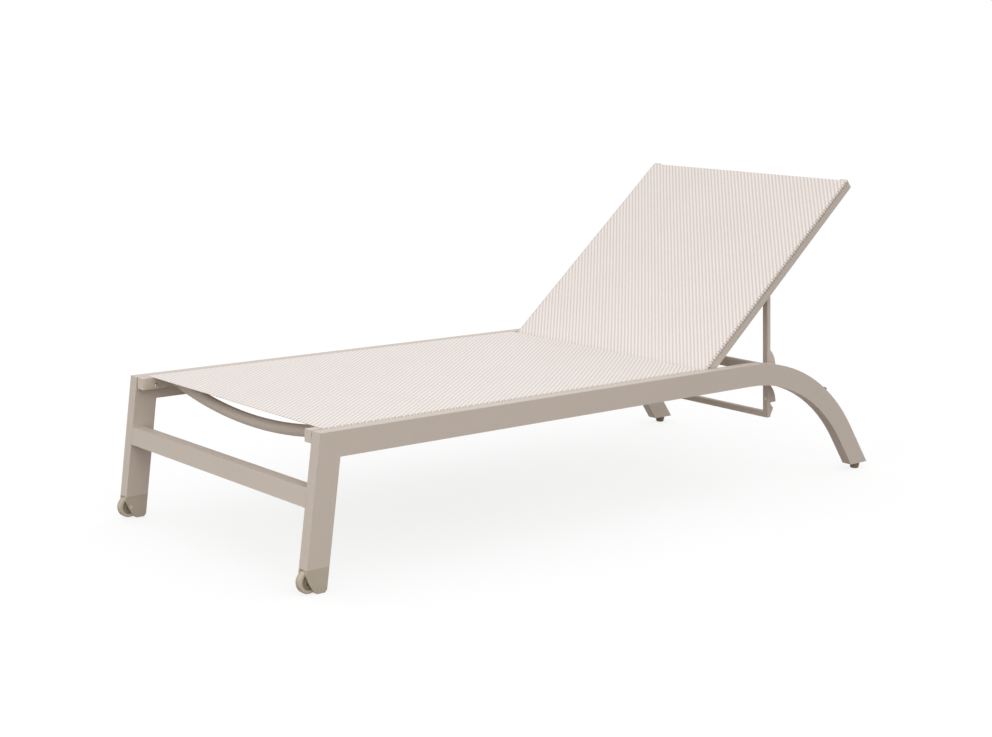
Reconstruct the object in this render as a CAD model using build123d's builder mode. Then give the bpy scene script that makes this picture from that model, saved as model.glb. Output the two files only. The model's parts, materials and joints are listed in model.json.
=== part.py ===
from build123d import *
import os
from math import sin, cos, tan, radians, sqrt, asin, degrees

os.makedirs("parts", exist_ok=True)

# ---------------------------------------------------------------- driving sizes (mm)
WIDTH = 700.0              # over the outer faces of the side rails
RAIL_W, RAIL_H = 26.0, 51.0    # side rail extrusion, width x height
WALL = 2.0                 # wall of the side rail extrusion
SEAT_H = 311.0             # top of the side rails above the ground
CURVE_X = 1235.0           # where the side rail starts to curve down
CURVE_R = 484.0            # radius of the curve's outer edge
CURVE_A = 53.2             # slope of the rear leg below the curve, degrees
REAR_CUT_Z = 14.5          # level of the rear leg's bottom cut
LEG_D = 52.4               # front leg, horizontal depth
LEG_RAKE = 6.58            # front leg rake, degrees
CAP_Z = 50.0               # top of the plastic front feet
BAR_Z0, BAR_Z1, BAR_D = 165.0, 203.0, 25.0   # leg crossbar: bottom, top, depth
SLING_W, SLING_H = 22.0, 25.0  # sling rail extrusion
SLING_OUT = 321.0          # outer face of the sling rails from the centre plane
SEAT_X0, SEAT_X1 = 8.0, 1078.0  # seat sling rails
BOW_D = 25.0               # spreader bows and catch bar
BOW_DIP = 36.5             # how far a seat bow dips at the middle
BACK_BOW_D, BACK_BOW_DIP = 22.0, 33.0
CLOTH = 1.2                # sling cloth
HINGE_X, HINGE_Z = 1108.4, 298.5
BACK_A = 40.72             # backrest slope in this pose, degrees
BACK_L = 642.0             # backrest rails, from the hinge axis to the top
PROP_R = 306.6             # prop pivot from the hinge axis, along the backrest
PROP_LEAN = 4.59           # prop arm off the vertical, degrees
PROP_L = 332.1             # prop pivot to the bottom bar's centre
PROP_T, PROP_W = 11.0, 14.0    # prop tube: across the frame, in the frame
PROP_OUT = 297.0           # outer face of the prop arms
TOOTH_PITCH, TOOTH_D = 43.8, 22.0
CATCH_X, CATCH_Z = 1393.0, 271.5
WHEEL_R, WHEEL_T = 24.0, 15.0
WHEEL_X, WHEEL_Z = -19.2, 25.5

# ---------------------------------------------------------------- derived
t6 = tan(radians(LEG_RAKE))
ca, sa = cos(radians(CURVE_A)), sin(radians(CURVE_A))
ARC_CZ = SEAT_H - CURVE_R


def leg_end(r):
    """Point where the edge at radius r meets the bottom cut."""
    x = CURVE_X + r * sa
    z = ARC_CZ + r * ca
    k = (z - REAR_CUT_Z) / sa
    return x + k * ca, REAR_CUT_Z


X_MIN = WHEEL_X - WHEEL_R
X_MAX = leg_end(CURVE_R)[0]
XC = (X_MIN + X_MAX) / 2      # the frame's origin sits under the middle of the length
YR = (WIDTH - RAIL_W) / 2     # centre plane of a side rail
YI = WIDTH / 2 - RAIL_W       # inner face of a side rail
YS = SLING_OUT - SLING_W / 2  # centre plane of a sling rail
YSI = SLING_OUT - SLING_W     # inner face of a sling rail
ZS = SEAT_H + 0.2 - SLING_H / 2   # centre of a seat sling rail
cb, sb = cos(radians(BACK_A)), sin(radians(BACK_A))
cp, sp = cos(radians(PROP_LEAN)), sin(radians(PROP_LEAN))
PX, PZ = HINGE_X + PROP_R * cb, HINGE_Z + PROP_R * sb
SIDES = (("left", -1), ("right", 1))
files = []


def side_plane(y):
    """Local x = +X, local y = +Z, at the given Y."""
    return Plane(origin=(-XC, y, 0), x_dir=(1, 0, 0), z_dir=(0, -1, 0))


def cross_plane(x):
    """Local x = +Y, local y = +Z, facing +X."""
    return Plane(origin=(x - XC, 0, 0), x_dir=(0, 1, 0), z_dir=(1, 0, 0))


def back_side(y):
    """Side plane of the backrest: local x runs up the rail, local y off its face."""
    return Plane(origin=(HINGE_X - XC, y, HINGE_Z), x_dir=(cb, 0, sb), z_dir=(0, -1, 0))


def back_cross(u):
    """Cross plane of the backrest at u along the rail: local x = +Y, local y off its face."""
    return Plane(origin=(HINGE_X - XC + u * cb, 0, HINGE_Z + u * sb), x_dir=(0, 1, 0), z_dir=(cb, 0, sb))


def prop_side(y):
    """Side plane of the prop: local x runs down the arm, local y towards the head end."""
    return Plane(origin=(PX - XC, y, PZ), x_dir=(sp, 0, -cp), z_dir=(0, -1, 0))


# plane of the prop frame: local x = +Y, local y up the arm
PROP_FRAME = Plane(origin=(PX - XC, 0, PZ), x_dir=(0, 1, 0), z_dir=(cp, 0, sp))


def rod_plane(x, y, z):
    """A plane across a cylinder that runs along Y."""
    return Plane(origin=(x - XC, y, z), x_dir=(1, 0, 0), z_dir=(0, 1, 0))


def save(builder, name):
    builder.part.label = name
    export_step(builder.part, f"parts/{name}.step")
    files.append(name)


# ================================================================ side rails
MITRE_X = LEG_D - RAIL_H * t6     # inner corner of the mitre between rail and leg


def rail_edge(off, close_u):
    """Outline of the side rail, inset by off from its edges."""
    zo, zi = SEAT_H - off, SEAT_H - RAIL_H + off
    ro, ri = CURVE_R - off, CURVE_R - RAIL_H + off
    eo, ei = leg_end(ro), leg_end(ri)
    mo = MITRE_X * off / RAIL_H
    mi = MITRE_X * (1 - off / RAIL_H)
    return zo, zi, ro, ri, eo, ei, mo, mi


def rail_outline(off):
    zo, zi, ro, ri, eo, ei, mo, mi = rail_edge(off, 0)
    a0 = (CURVE_X, zo)
    a2 = (CURVE_X + ro * sa, ARC_CZ + ro * ca)
    a1 = (CURVE_X + ro * sin(radians(CURVE_A / 2)), ARC_CZ + ro * cos(radians(CURVE_A / 2)))
    b2 = (CURVE_X, zi)
    b0 = (CURVE_X + ri * sa, ARC_CZ + ri * ca)
    b1 = (CURVE_X + ri * sin(radians(CURVE_A / 2)), ARC_CZ + ri * cos(radians(CURVE_A / 2)))
    Line((mo, zo), a0)
    ThreePointArc(a0, a1, a2)
    Line(a2, eo)
    Line(eo, ei)
    Line(ei, b0)
    ThreePointArc(b0, b1, b2)
    Line(b2, (mi, zi))
    Line((mi, zi), (mo, zo))


for side, s in SIDES:
    with BuildPart() as side_rail:
        with BuildSketch(side_plane(s * YR)):
            with BuildLine():
                rail_outline(0)
            make_face()
        extrude(amount=RAIL_W / 2, both=True)
        with BuildSketch(side_plane(s * YR)):
            with BuildLine():
                rail_outline(WALL)
            make_face()
        extrude(amount=RAIL_W / 2 - WALL, both=True, mode=Mode.SUBTRACT)
        # holes in the inner wall for the catch bar's and the hinge's rivet nuts
        with BuildSketch(side_plane(s * (YI + WALL / 2))):
            with Locations((HINGE_X, HINGE_Z)):
                Circle(5.5)
            for bx in (32.0, 520.0, 1000.0):
                with Locations((bx, 293.5)):
                    Circle(4.5)
        extrude(amount=WALL, both=True, mode=Mode.SUBTRACT)
    save(side_rail, f"side_rail_{side}")

# ================================================================ front legs
for side, s in SIDES:
    with BuildPart() as front_leg:
        with BuildSketch(side_plane(s * YR)):
            with BuildLine():
                Polyline((0, SEAT_H), (MITRE_X, SEAT_H - RAIL_H),
                         (LEG_D - (SEAT_H - CAP_Z) * t6, CAP_Z), (-(SEAT_H - CAP_Z) * t6, CAP_Z), close=True)
            make_face()
        extrude(amount=RAIL_W / 2, both=True)
        w = WALL / cos(radians(LEG_RAKE))
        k0 = w / (MITRE_X + RAIL_H * t6)
        k1 = (LEG_D - w) / (MITRE_X + RAIL_H * t6)
        with BuildSketch(side_plane(s * YR)):
            with BuildLine():
                Polyline((MITRE_X * k0, SEAT_H - RAIL_H * k0), (MITRE_X * k1, SEAT_H - RAIL_H * k1),
                         (LEG_D - w - (SEAT_H - CAP_Z) * t6, CAP_Z), (w - (SEAT_H - CAP_Z) * t6, CAP_Z), close=True)
            make_face()
        extrude(amount=RAIL_W / 2 - WALL, both=True, mode=Mode.SUBTRACT)
    save(front_leg, f"front_leg_{side}")

# crossbar between the front legs, flush with their front faces
with BuildPart() as leg_crossbar:
    with BuildSketch(side_plane(0)):
        with BuildLine():
            Polyline((-(SEAT_H - BAR_Z1) * t6, BAR_Z1), (BAR_D - (SEAT_H - BAR_Z1) * t6, BAR_Z1),
                     (BAR_D - (SEAT_H - BAR_Z0) * t6, BAR_Z0), (-(SEAT_H - BAR_Z0) * t6, BAR_Z0), close=True)
        make_face()
    extrude(amount=YI, both=True)
    with BuildSketch(side_plane(0)):
        with BuildLine():
            Polyline((-(SEAT_H - BAR_Z1 + 2) * t6 + 2, BAR_Z1 - 2), (BAR_D - 2 - (SEAT_H - BAR_Z1 + 2) * t6, BAR_Z1 - 2),
                     (BAR_D - 2 - (SEAT_H - BAR_Z0 - 2) * t6, BAR_Z0 + 2), (2 - (SEAT_H - BAR_Z0 - 2) * t6, BAR_Z0 + 2), close=True)
        make_face()
    extrude(amount=YI, both=True, mode=Mode.SUBTRACT)
save(leg_crossbar, "leg_crossbar")

# ================================================================ front feet with the wheel pockets
for side, s in SIDES:
    with BuildPart() as foot:
        with BuildSketch(side_plane(s * YR)):
            with BuildLine():
                Polyline((-(SEAT_H - CAP_Z) * t6, CAP_Z), (LEG_D - (SEAT_H - CAP_Z) * t6, CAP_Z),
                         (LEG_D - (SEAT_H - 6) * t6, 6.0), (12.0, 0), (-6.0, 0), (-14.0, 6.0),
                         (-25.0, 24.0), (-31.5, 41.0), close=True)
            make_face()
        extrude(amount=RAIL_W / 2, both=True)
        # round the outer shape's side edges at the bottom
        fillet(foot.edges().filter_by(Axis.Y).sort_by(Axis.Z)[:2], 3.0)
        # slot for the wheel
        with BuildSketch(side_plane(s * YR)):
            with Locations((WHEEL_X, WHEEL_Z)):
                Circle(WHEEL_R + 2.0)
            with Locations((WHEEL_X - 20, WHEEL_Z - 4)):
                Rectangle(40, 2 * WHEEL_R + 4)
        extrude(amount=WHEEL_T / 2 + 1.0, both=True, mode=Mode.SUBTRACT)
        # plug into the leg tube
        with BuildSketch(side_plane(s * YR)):
            with BuildLine():
                Polyline((2.6 - (SEAT_H - CAP_Z) * t6, CAP_Z), (LEG_D - 2.6 - (SEAT_H - CAP_Z) * t6, CAP_Z),
                         (LEG_D - 2.6 - (SEAT_H - CAP_Z - 22) * t6, CAP_Z + 22), (2.6 - (SEAT_H - CAP_Z - 22) * t6, CAP_Z + 22), close=True)
            make_face()
        extrude(amount=RAIL_W / 2 - WALL - 0.3, both=True)
        with BuildSketch(side_plane(s * YR)):
            with BuildLine():
                Polyline((6 - (SEAT_H - CAP_Z - 5) * t6, CAP_Z + 5), (LEG_D - 6 - (SEAT_H - CAP_Z - 5) * t6, CAP_Z + 5),
                         (LEG_D - 6 - (SEAT_H - CAP_Z - 22) * t6, CAP_Z + 22), (6 - (SEAT_H - CAP_Z - 22) * t6, CAP_Z + 22), close=True)
            make_face()
        extrude(amount=RAIL_W / 2 - WALL - 3, both=True, mode=Mode.SUBTRACT)
        # axle hole, open on the inner face
        with BuildSketch(side_plane(s * YR)):
            with Locations((WHEEL_X, WHEEL_Z)):
                Circle(3.0)
        extrude(amount=s * (RAIL_W / 2 + 1), mode=Mode.SUBTRACT)
        # blind on the outer face
        with BuildSketch(side_plane(s * YR)):
            with Locations((WHEEL_X, WHEEL_Z)):
                Circle(3.0)
        extrude(amount=-s * (RAIL_W / 2 - 1.6), mode=Mode.SUBTRACT)
    save(foot, f"front_foot_{side}")

with BuildPart() as wheel_axles:
    for side, s in SIDES:
        with BuildSketch(side_plane(s * YR)):
            with Locations((WHEEL_X, WHEEL_Z)):
                Circle(3.0)
        extrude(amount=s * RAIL_W / 2)
        with BuildSketch(side_plane(s * YR)):
            with Locations((WHEEL_X, WHEEL_Z)):
                Circle(3.0)
        extrude(amount=-s * (RAIL_W / 2 - 1.8))
save(wheel_axles, "wheel_axles")

for side, s in SIDES:
    with BuildPart() as tyre:
        with BuildSketch(rod_plane(WHEEL_X, s * YR, WHEEL_Z)):
            Circle(WHEEL_R)
        extrude(amount=WHEEL_T / 2, both=True)
        fillet(tyre.edges().filter_by(GeomType.CIRCLE), 3.5)
        # dished faces round the hub
        for e in (-1, 1):
            with BuildSketch(rod_plane(WHEEL_X, s * YR + e * (WHEEL_T / 2 - 1.25), WHEEL_Z)):
                Circle(17.0)
                Circle(9.0, mode=Mode.SUBTRACT)
            extrude(amount=1.25, both=True, mode=Mode.SUBTRACT)
        with BuildSketch(rod_plane(WHEEL_X, s * YR, WHEEL_Z)):
            Circle(8.0)
        extrude(amount=WHEEL_T / 2 + 1, both=True, mode=Mode.SUBTRACT)
    save(tyre, f"wheel_tread_{side}")
    with BuildPart() as hub:
        with BuildSketch(rod_plane(WHEEL_X, s * YR, WHEEL_Z)):
            Circle(8.0)
            Circle(3.05, mode=Mode.SUBTRACT)
        extrude(amount=WHEEL_T / 2 + 0.4, both=True)
    save(hub, f"wheel_hub_{side}")

# ================================================================ rear leg plugs and glides
eo, ei = leg_end(CURVE_R), leg_end(CURVE_R - RAIL_H)
GLIDE_X = (eo[0] + ei[0]) / 2
for side, s in SIDES:
    wx = (WALL + 0.3) / sa
    up = 16.0
    sh = -up * ca / sa
    with BuildPart() as plug:
        with BuildSketch(side_plane(s * YR)):
            with BuildLine():
                Polyline((ei[0] + wx, REAR_CUT_Z), (eo[0] - wx, REAR_CUT_Z),
                         (eo[0] - wx + sh, REAR_CUT_Z + up), (ei[0] + wx + sh, REAR_CUT_Z + up), close=True)
            make_face()
        extrude(amount=RAIL_W / 2 - WALL - 0.2, both=True)
        with BuildSketch(Plane.XY.offset(REAR_CUT_Z)):
            with Locations((GLIDE_X - XC, s * YR)):
                Circle(4.0)
        extrude(amount=12.0, mode=Mode.SUBTRACT)
    save(plug, f"rear_leg_plug_{side}")
    with BuildPart() as glide:
        with BuildSketch(Plane.XY):
            with Locations((GLIDE_X - XC, s * YR)):
                Circle(10.8)
        extrude(amount=8.0)
        fillet(glide.faces().sort_by(Axis.Z)[0].edges(), 3.2)
        with BuildSketch(Plane.XY.offset(8.0)):
            with Locations((GLIDE_X - XC, s * YR)):
                Circle(12.2)
        extrude(amount=REAR_CUT_Z - 8.0)
        with BuildSketch(Plane.XY.offset(REAR_CUT_Z)):
            with Locations((GLIDE_X - XC, s * YR)):
                Circle(4.0)
        extrude(amount=11.0)
    save(glide, f"rear_glide_{side}")

# ================================================================ stacking bumpers
BF_Z = 96.0
BF_X = LEG_D - (SEAT_H - BF_Z) * t6
with BuildPart() as front_bumpers:
    for side, s in SIDES:
        with BuildSketch(Plane(origin=(BF_X - XC, s * YR, BF_Z), x_dir=(0, 1, 0),
                               z_dir=(cos(radians(LEG_RAKE)), 0, -sin(radians(LEG_RAKE))))):
            Circle(4.5)
        extrude(amount=4.5)
    fillet(front_bumpers.faces().group_by(Axis.X)[-1].edges(), 2.0)
save(front_bumpers, "front_bumpers")
BR_A = 36.7
with BuildPart() as rear_bumpers:
    for side, s in SIDES:
        with BuildSketch(Plane(origin=(CURVE_X + (CURVE_R - 0.2) * sin(radians(BR_A)) - XC, s * YR,
                                       ARC_CZ + (CURVE_R - 0.2) * cos(radians(BR_A))), x_dir=(0, 1, 0),
                               z_dir=(sin(radians(BR_A)), 0, cos(radians(BR_A))))):
            Circle(4.5)
        extrude(amount=8.5)
        with BuildSketch(side_plane(s * YR)):
            with Locations((CURVE_X, ARC_CZ)):
                Circle(CURVE_R)
        extrude(amount=10, both=True, mode=Mode.SUBTRACT)
save(rear_bumpers, "rear_bumpers")

# ================================================================ sling rails of the seat


def sling_section(y0, z0, s):
    """Section of a sling rail: a box with a bead channel opening on its outer face."""
    with Locations((s * y0, z0)):
        Rectangle(SLING_W, SLING_H)
    with Locations((s * y0, z0 - 5.2)):
        Rectangle(SLING_W - 4, 11, mode=Mode.SUBTRACT)
    with Locations((s * (y0 + SLING_W / 2 - 5.0), z0 + SLING_H / 2 - 6.0)):
        Circle(3.4, mode=Mode.SUBTRACT)
    with Locations((s * (y0 + SLING_W / 2 - 1.5), z0 + SLING_H / 2 - 6.0)):
        Rectangle(5.0, 2.4, mode=Mode.SUBTRACT)


BEAD_Y = SLING_OUT - 5.0
BEAD_Z = ZS + SLING_H / 2 - 6.0
BOLT_XS = (32.0, 520.0, 1000.0)
BOLT_Z = 293.5
for side, s in SIDES:
    with BuildPart() as seat_rail:
        with BuildSketch(cross_plane(SEAT_X0)):
            sling_section(YS, ZS, s)
        extrude(amount=SEAT_X1 - SEAT_X0)
        with BuildSketch(side_plane(s * YS)):
            for bx in BOLT_XS:
                with Locations((bx, BOLT_Z)):
                    Circle(3.2)
        extrude(amount=SLING_W, both=True, mode=Mode.SUBTRACT)
    save(seat_rail, f"seat_rail_{side}")

with BuildPart() as seat_rail_caps:
    for side, s in SIDES:
        for x0, d in ((SEAT_X0, -1), (SEAT_X1, 1)):
            with BuildSketch(cross_plane(x0)):
                with Locations((s * YS, ZS)):
                    Rectangle(SLING_W, SLING_H)
            extrude(amount=d * (SEAT_X0 - 0.0 if d < 0 else 3.0))
            with BuildSketch(cross_plane(x0)):
                with Locations((s * YS, ZS - 5.2)):
                    Rectangle(SLING_W - 4.4, 10.6)
            extrude(amount=-d * 14.0)
save(seat_rail_caps, "seat_rail_caps")

with BuildPart() as seat_bead_rods:
    for side, s in SIDES:
        with BuildSketch(cross_plane(26.0)):
            with Locations((s * BEAD_Y, BEAD_Z)):
                Circle(2.9)
        extrude(amount=SEAT_X1 - 30.0)
save(seat_bead_rods, "seat_bead_rods")

with BuildPart() as sling_bolts:
    for side, s in SIDES:
        for bx in BOLT_XS:
            with BuildSketch(rod_plane(bx, s * (YSI - 3.2), BOLT_Z)):
                Circle(5.2)
            extrude(amount=s * 3.2)
            with BuildSketch(rod_plane(bx, s * YSI, BOLT_Z)):
                Circle(3.0)
            extrude(amount=s * 34.0)
save(sling_bolts, "sling_bolts")

with BuildPart() as sling_spacers:
    for side, s in SIDES:
        for bx in BOLT_XS:
            with BuildSketch(rod_plane(bx, s * SLING_OUT, BOLT_Z)):
                Circle(7.0)
                Circle(3.05, mode=Mode.SUBTRACT)
            extrude(amount=s * (YI - SLING_OUT))
save(sling_spacers, "sling_spacers")

with BuildPart() as frame_rivet_nuts:
    for side, s in SIDES:
        for bx in BOLT_XS:
            with BuildSketch(rod_plane(bx, s * YI, BOLT_Z)):
                Circle(4.5)
                Circle(3.05, mode=Mode.SUBTRACT)
            extrude(amount=s * 12.0)
        with BuildSketch(rod_plane(HINGE_X, s * YI, HINGE_Z)):
            Circle(5.5)
            Circle(4.05, mode=Mode.SUBTRACT)
        extrude(amount=s * 14.0)
save(frame_rivet_nuts, "frame_rivet_nuts")


# ================================================================ bowed spreaders and the catch bar
def bow_arc(half, dip, mid):
    """Three points of an arc whose middle is at mid and whose ends at +-half rise by dip."""
    r = (half ** 2 + dip ** 2) / (2 * dip)
    ext = half + 6.0
    rise = r - sqrt(r ** 2 - ext ** 2)
    return (-ext, mid + rise), (0, mid), (ext, mid + rise)


for name, bx, dip in (("foot_bow_bar", 86.0, BOW_DIP), ("middle_bow_bar", 560.0, BOW_DIP), ("hinge_bow_bar", 1040.0, 24.0)):
    with BuildPart() as bow:
        with BuildLine(cross_plane(bx)) as path:
            ThreePointArc(*bow_arc(YSI, dip, ZS - 1.2 - dip))
        with BuildSketch(Plane(origin=path.line @ 0, z_dir=path.line % 0)):
            Circle(BOW_D / 2)
            Circle(BOW_D / 2 - 1.6, mode=Mode.SUBTRACT)
        sweep(path=path.line)
        with BuildSketch(Plane.XY.offset(ZS - 60)):
            with Locations((bx - XC, 0)):
                Rectangle(60, 2 * YSI)
        extrude(amount=100, mode=Mode.INTERSECT)
    save(bow, name)

with BuildPart() as catch_bar:
    with BuildSketch(side_plane(0)):
        with Locations((CATCH_X, CATCH_Z)):
            Circle(BOW_D / 2)
            Circle(BOW_D / 2 - 2.0, mode=Mode.SUBTRACT)
    extrude(amount=YI, both=True)
save(catch_bar, "catch_bar")

# ================================================================ seat sling
with BuildPart() as sling_seat:
    with BuildSketch(Plane.XY.offset(SEAT_H + 0.3)):
        with Locations(((25.0 + SEAT_X1) / 2 - XC, 0)):
            Rectangle(SEAT_X1 - 25.0, 2 * SLING_OUT - 1)
    extrude(amount=CLOTH)
save(sling_seat, "sling_seat")

# ================================================================ hinge
with BuildPart() as hinge_bolts:
    for side, s in SIDES:
        with BuildSketch(rod_plane(HINGE_X, s * (YSI - 5.5), HINGE_Z)):
            Circle(7.5)
        extrude(amount=s * 5.0)
        with BuildSketch(rod_plane(HINGE_X, s * (YSI - 0.5), HINGE_Z)):
            Circle(4.0)
        extrude(amount=s * (YI + 13.5 - YSI + 0.5))
save(hinge_bolts, "hinge_bolts")
with BuildPart() as hinge_spacers:
    for side, s in SIDES:
        with BuildSketch(rod_plane(HINGE_X, s * (SLING_OUT + 0.4), HINGE_Z)):
            Circle(9.0)
            Circle(4.05, mode=Mode.SUBTRACT)
        extrude(amount=s * (YI - SLING_OUT - 0.4))
save(hinge_spacers, "hinge_spacers")
with BuildPart() as hinge_bushes:
    for side, s in SIDES:
        with BuildSketch(rod_plane(HINGE_X, s * YSI, HINGE_Z)):
            Circle(5.5)
            Circle(4.06, mode=Mode.SUBTRACT)
        extrude(amount=s * SLING_W)
save(hinge_bushes, "hinge_bushes")

# ================================================================ backrest
for side, s in SIDES:
    with BuildPart() as back_rail:
        with BuildSketch(back_cross(-16.0)):
            sling_section(YS, 0, s)
        extrude(amount=BACK_L + 16.0)
        # rounded hinge end
        with BuildSketch(back_side(s * YS)):
            with Locations((-6.0, 0)):
                Rectangle(40, 40)
            with Locations((14.0, 0)):
                Rectangle(28.0, 40, mode=Mode.SUBTRACT)
            Circle(14.0, mode=Mode.SUBTRACT)
        extrude(amount=SLING_W, both=True, mode=Mode.SUBTRACT)
        with BuildSketch(back_side(s * YS)):
            Circle(5.5)
        extrude(amount=SLING_W, both=True, mode=Mode.SUBTRACT)
        # prop pivot, through the inner wall only
        with BuildSketch(back_side(s * YSI)):
            with Locations((PROP_R, 0)):
                Circle(4.5)
        extrude(amount=11.0, both=True, mode=Mode.SUBTRACT)
    save(back_rail, f"back_rail_{side}")

with BuildPart() as back_rail_caps:
    for side, s in SIDES:
        with BuildSketch(back_cross(BACK_L)):
            with Locations((s * YS, 0)):
                Rectangle(SLING_W, SLING_H)
        extrude(amount=3.0)
        with BuildSketch(back_cross(BACK_L - 14.0)):
            with Locations((s * YS, -5.2)):
                Rectangle(SLING_W - 4.4, 10.6)
        extrude(amount=14.0)
save(back_rail_caps, "back_rail_caps")

for name, bu, dip in (("back_lower_bow", 84.0, 26.0), ("back_middle_bow", 362.0, BACK_BOW_DIP), ("back_top_bow", 606.0, BACK_BOW_DIP)):
    with BuildPart() as bow:
        with BuildLine(back_cross(bu)) as path:
            ThreePointArc(*bow_arc(YSI, dip, -dip))
        with BuildSketch(Plane(origin=path.line @ 0, z_dir=path.line % 0)):
            Circle(BACK_BOW_D / 2)
            Circle(BACK_BOW_D / 2 - 1.6, mode=Mode.SUBTRACT)
        sweep(path=path.line)
        with BuildSketch(back_cross(bu - 40.0)):
            Rectangle(2 * YSI, 160)
        extrude(amount=80.0, mode=Mode.INTERSECT)
    save(bow, name)

with BuildPart() as back_bead_rods:
    for side, s in SIDES:
        with BuildSketch(back_cross(22.0)):
            with Locations((s * BEAD_Y, SLING_H / 2 - 6.0)):
                Circle(2.9)
        extrude(amount=BACK_L - 24.0)
save(back_bead_rods, "back_bead_rods")

with BuildPart() as sling_back:
    with BuildSketch(back_side(0)):
        with Locations(((20.0 + BACK_L) / 2, SLING_H / 2 + 0.1 + CLOTH / 2)):
            Rectangle(BACK_L - 20.0, CLOTH)
    extrude(amount=SLING_OUT - 0.5, both=True)
save(sling_back, "sling_back")

with BuildPart() as prop_pivot_bolts:
    for side, s in SIDES:
        yi = PROP_OUT - PROP_W - 1.0
        with BuildSketch(rod_plane(PX, s * (yi - 4.0), PZ)):
            Circle(5.2)
        extrude(amount=s * 4.0)
        with BuildSketch(rod_plane(PX, s * yi, PZ)):
            Circle(3.0)
        extrude(amount=s * (YSI + 11.0 - yi))
save(prop_pivot_bolts, "prop_pivot_bolts")
with BuildPart() as prop_rivet_nuts:
    for side, s in SIDES:
        with BuildSketch(rod_plane(PX, s * YSI, PZ)):
            Circle(4.5)
            Circle(3.05, mode=Mode.SUBTRACT)
        extrude(amount=s * 9.0)
save(prop_rivet_nuts, "prop_rivet_nuts")

# ================================================================ prop stand
PE = PROP_L + PROP_W / 2
for side, s in SIDES:
    with BuildPart() as arm:
        with BuildSketch(PROP_FRAME):
            with BuildLine():
                Polyline((s * (PROP_OUT - PROP_W), 7.0), (s * PROP_OUT, 7.0), (s * PROP_OUT, -PE),
                         (s * (PROP_OUT - PROP_W), -PE + PROP_W), close=True)
            make_face()
        extrude(amount=PROP_T / 2, both=True)
        with BuildSketch(PROP_FRAME):
            with BuildLine():
                Polyline((s * (PROP_OUT - PROP_W + 1.5), -9.0), (s * (PROP_OUT - 1.5), -9.0),
                         (s * (PROP_OUT - 1.5), -PE + 1.5), (s * (PROP_OUT - PROP_W + 1.5), -PE + PROP_W - 1.5), close=True)
            make_face()
        extrude(amount=PROP_T / 2 - 1.5, both=True, mode=Mode.SUBTRACT)
        with BuildSketch(prop_side(s * (PROP_OUT - PROP_W / 2))):
            Circle(4.0)
        extrude(amount=PROP_W, both=True, mode=Mode.SUBTRACT)
        with BuildSketch(PROP_FRAME):
            for t in (205.0, 292.0):
                with Locations((s * (PROP_OUT - 4.0), -t)):
                    Circle(2.0)
        extrude(amount=PROP_T, both=True, mode=Mode.SUBTRACT)
    save(arm, f"prop_arm_{side}")

with BuildPart() as prop_bottom_bar:
    with BuildSketch(PROP_FRAME):
        with BuildLine():
            Polyline((-PROP_OUT, -PE), (PROP_OUT, -PE), (PROP_OUT - PROP_W, -PE + PROP_W),
                     (-PROP_OUT + PROP_W, -PE + PROP_W), close=True)
        make_face()
    extrude(amount=PROP_T / 2, both=True)
    with BuildSketch(PROP_FRAME):
        with BuildLine():
            Polyline((-PROP_OUT + 1.5, -PE + 1.5), (PROP_OUT - 1.5, -PE + 1.5), (PROP_OUT - PROP_W + 1.5, -PE + PROP_W - 1.5),
                     (-PROP_OUT + PROP_W - 1.5, -PE + PROP_W - 1.5), close=True)
        make_face()
    extrude(amount=PROP_T / 2 - 1.5, both=True, mode=Mode.SUBTRACT)
save(prop_bottom_bar, "prop_bottom_bar")

UNDER_A = 217.3            # underside of the top tooth, from the prop pivot
H0 = PROP_T / 2
tooth_pts = [(UNDER_A - 43.0, H0)]
for k in range(3):
    t0 = UNDER_A - 43.0 + k * TOOTH_PITCH
    tooth_pts += [(t0, H0 + 2.5), (t0 + 4.0, H0 + 7.0), (t0 + 9.5, H0 + 11.2), (t0 + 16.0, H0 + 15.0), (t0 + 24.5, H0 + 18.5),
                  (t0 + 34.0, H0 + 20.8), (t0 + 43.0, H0 + TOOTH_D), (t0 + 42.0, H0 + 2.0)]
tooth_pts += [(UNDER_A + 2 * TOOTH_PITCH + 2.0, H0 + 2.5), (PE - 19.6, H0 + 12.4), (PE - 0.5, H0 + 1.2), (PE - 0.5, H0)]
for side, s in SIDES:
    with BuildPart() as comb:
        with BuildSketch(prop_side(s * (PROP_OUT - 4.0))):
            with BuildLine():
                Polyline(*tooth_pts, close=True)
            make_face()
        extrude(amount=2.0, both=True)
    save(comb, f"prop_tooth_plate_{side}")

with BuildPart() as prop_rivets:
    for side, s in SIDES:
        for t in (205.0, 292.0):
            with BuildSketch(PROP_FRAME):
                with Locations((s * (PROP_OUT - 4.0), -t)):
                    Circle(2.0)
            extrude(amount=PROP_T / 2, both=True)
            with BuildSketch(PROP_FRAME.offset(-PROP_T / 2)):
                with Locations((s * (PROP_OUT - 4.0), -t)):
                    Circle(3.4)
            extrude(amount=-1.4)
save(prop_rivets, "prop_rivets")

with BuildPart() as prop_bushes:
    for side, s in SIDES:
        with BuildSketch(rod_plane(PX, s * (PROP_OUT - PROP_W), PZ)):
            Circle(4.0)
            Circle(3.06, mode=Mode.SUBTRACT)
        extrude(amount=s * PROP_W)
        with BuildSketch(rod_plane(PX, s * PROP_OUT, PZ)):
            Circle(7.0)
            Circle(3.06, mode=Mode.SUBTRACT)
        extrude(amount=s * 1.6)
save(prop_bushes, "prop_bushes")

print(len(files), "parts; origin at x =", round(XC, 2), "length", round(X_MAX - X_MIN, 1))
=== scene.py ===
import json
import math
import random

import bmesh
import bpy
from mathutils import Matrix, Vector, Euler

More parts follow.
